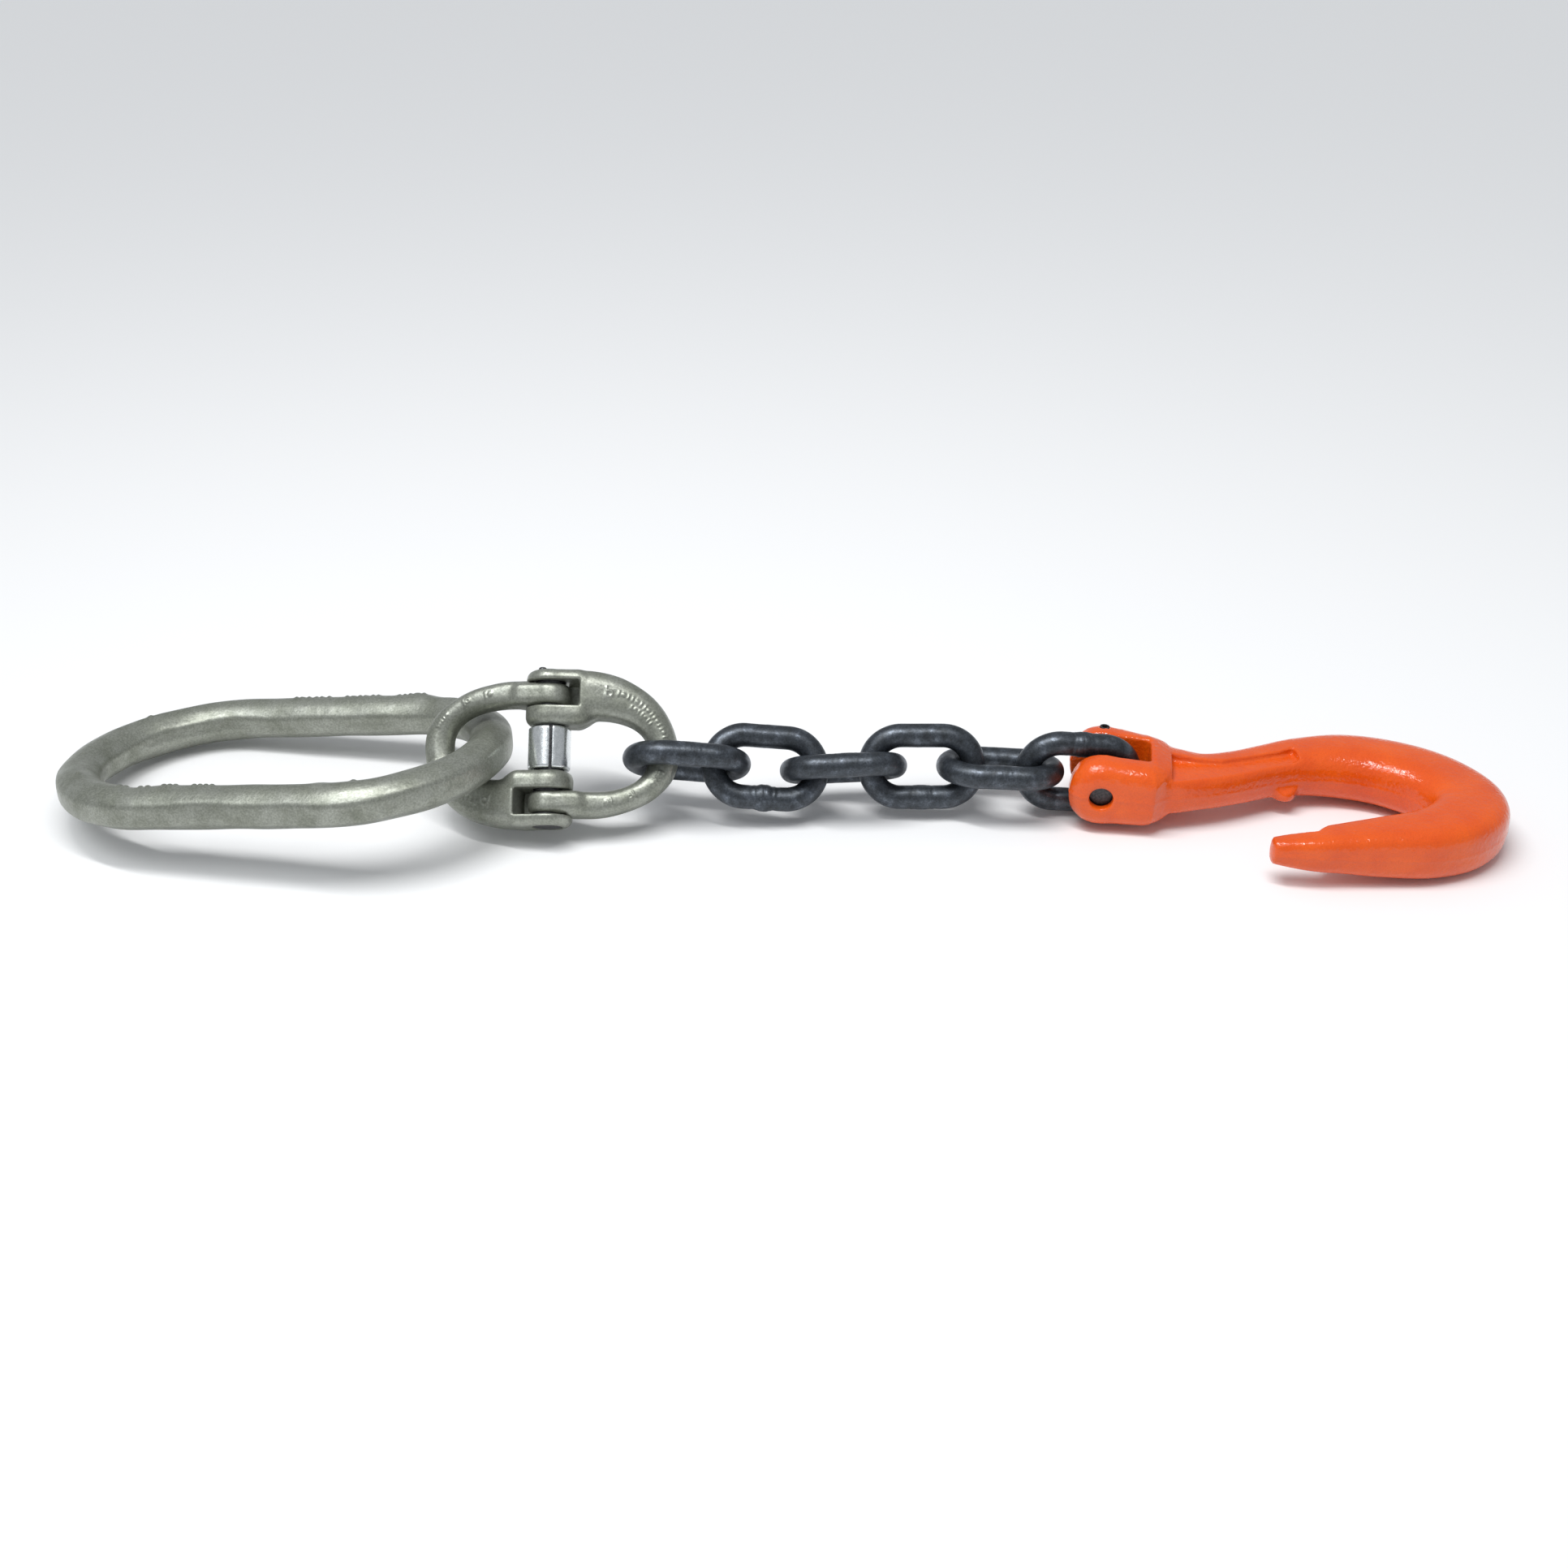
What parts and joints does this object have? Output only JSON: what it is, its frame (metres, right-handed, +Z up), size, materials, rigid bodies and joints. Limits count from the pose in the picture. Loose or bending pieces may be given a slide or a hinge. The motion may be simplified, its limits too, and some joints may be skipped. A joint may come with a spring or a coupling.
{
  "type": "load binder chain",
  "caption": "Short load binder chain: oblong master link, pinned coupling link, round-wire chain links and a clevis hook with a wide open bowl.",
  "frame": {"origin": "middle of the footprint of the stretched-out chain, on the surface that it lies on", "axes": "+X from the master link to the hook, +Y away from the side that the hook's point is on, +Z up"},
  "size_m": [0.592, 0.1326, 0.065],
  "materials": {
    "silver_paint": "satin silver-grey paint over forged steel",
    "chain_steel": "dark heat-treated steel with a faint blue sheen",
    "orange_paint": "glossy orange enamel over forged steel",
    "zinc_sleeve": "bright zinc-plated spring steel",
    "pin_steel": "dark oiled steel"
  },
  "bodies": {
    "master_link": {"master_link": "silver_paint"},
    "coupling_left": {"coupling_left_half": "silver_paint"},
    "coupling_right": {"coupling_right_half": "silver_paint"},
    "coupling_pin": {"coupling_pin": "pin_steel", "coupling_sleeve": "zinc_sleeve"},
    "chain_link_1": {"chain_link_1": "chain_steel"},
    "chain_link_2": {"chain_link_2": "chain_steel"},
    "chain_link_3": {"chain_link_3": "chain_steel"},
    "chain_link_4": {"chain_link_4": "chain_steel"},
    "chain_link_5": {"chain_link_5": "chain_steel"},
    "chain_link_6": {"chain_link_6": "chain_steel"},
    "hook": {"hook_body": "orange_paint", "hook_load_pin": "pin_steel", "hook_roll_pin": "pin_steel"}
  },
  "joints": [
    {"name": "coupling_on_master", "type": "hinge", "parent": "master_link", "child": "coupling_left", "pos_m": [-0.11681, -0.00231, 0.03218], "axis": [-0.0669, 0.9855, -0.1558], "range_deg": [-45, 20]},
    {"name": "coupling_fold", "type": "hinge", "parent": "coupling_left", "child": "coupling_right", "pos_m": [-0.09076, -0.00887, 0.03345], "axis": [-0.0061, -0.6405, -0.7679], "range_deg": [-60, 60]},
    {"name": "coupling_pin_turn", "type": "hinge", "parent": "coupling_left", "child": "coupling_pin", "pos_m": [-0.09076, -0.00887, 0.03345], "axis": [0.0061, 0.6405, 0.7679], "continuous": true},
    {"name": "link_1_swing", "type": "hinge", "parent": "coupling_right", "child": "chain_link_1", "pos_m": [-0.04459, -0.0086, 0.02895], "axis": [0.0061, 0.6405, 0.7679], "range_deg": [-50, 50]},
    {"name": "link_2_swing", "type": "hinge", "parent": "chain_link_1", "child": "chain_link_2", "pos_m": [-0.01412, -0.00538, 0.0241], "axis": [-0.1646, 0.7189, -0.6754], "range_deg": [-50, 50]},
    {"name": "link_3_swing", "type": "hinge", "parent": "chain_link_2", "child": "chain_link_3", "pos_m": [0.018, -0.00412, 0.02084], "axis": [-0.0546, -0.6189, -0.7835], "range_deg": [-50, 50]},
    {"name": "link_4_swing", "type": "hinge", "parent": "chain_link_3", "child": "chain_link_4", "pos_m": [0.05021, -0.00155, 0.02173], "axis": [0.0564, -0.8172, 0.5736], "range_deg": [-50, 50]},
    {"name": "link_5_swing", "type": "hinge", "parent": "chain_link_4", "child": "chain_link_5", "pos_m": [0.08251, -0.00122, 0.02129], "axis": [0.0025, 0.3747, 0.9271], "range_deg": [-50, 50]},
    {"name": "link_6_swing", "type": "hinge", "parent": "chain_link_5", "child": "chain_link_6", "pos_m": [0.11475, -0.00303, 0.02023], "axis": [0.0382, 0.9774, -0.2078], "range_deg": [-50, 50]},
    {"name": "hook_swing", "type": "hinge", "parent": "chain_link_6", "child": "hook", "pos_m": [0.1354, -0.00105, 0.01741], "axis": [-0.1392, -0.9903, 0], "range_deg": [-50, 50]}
  ]
}
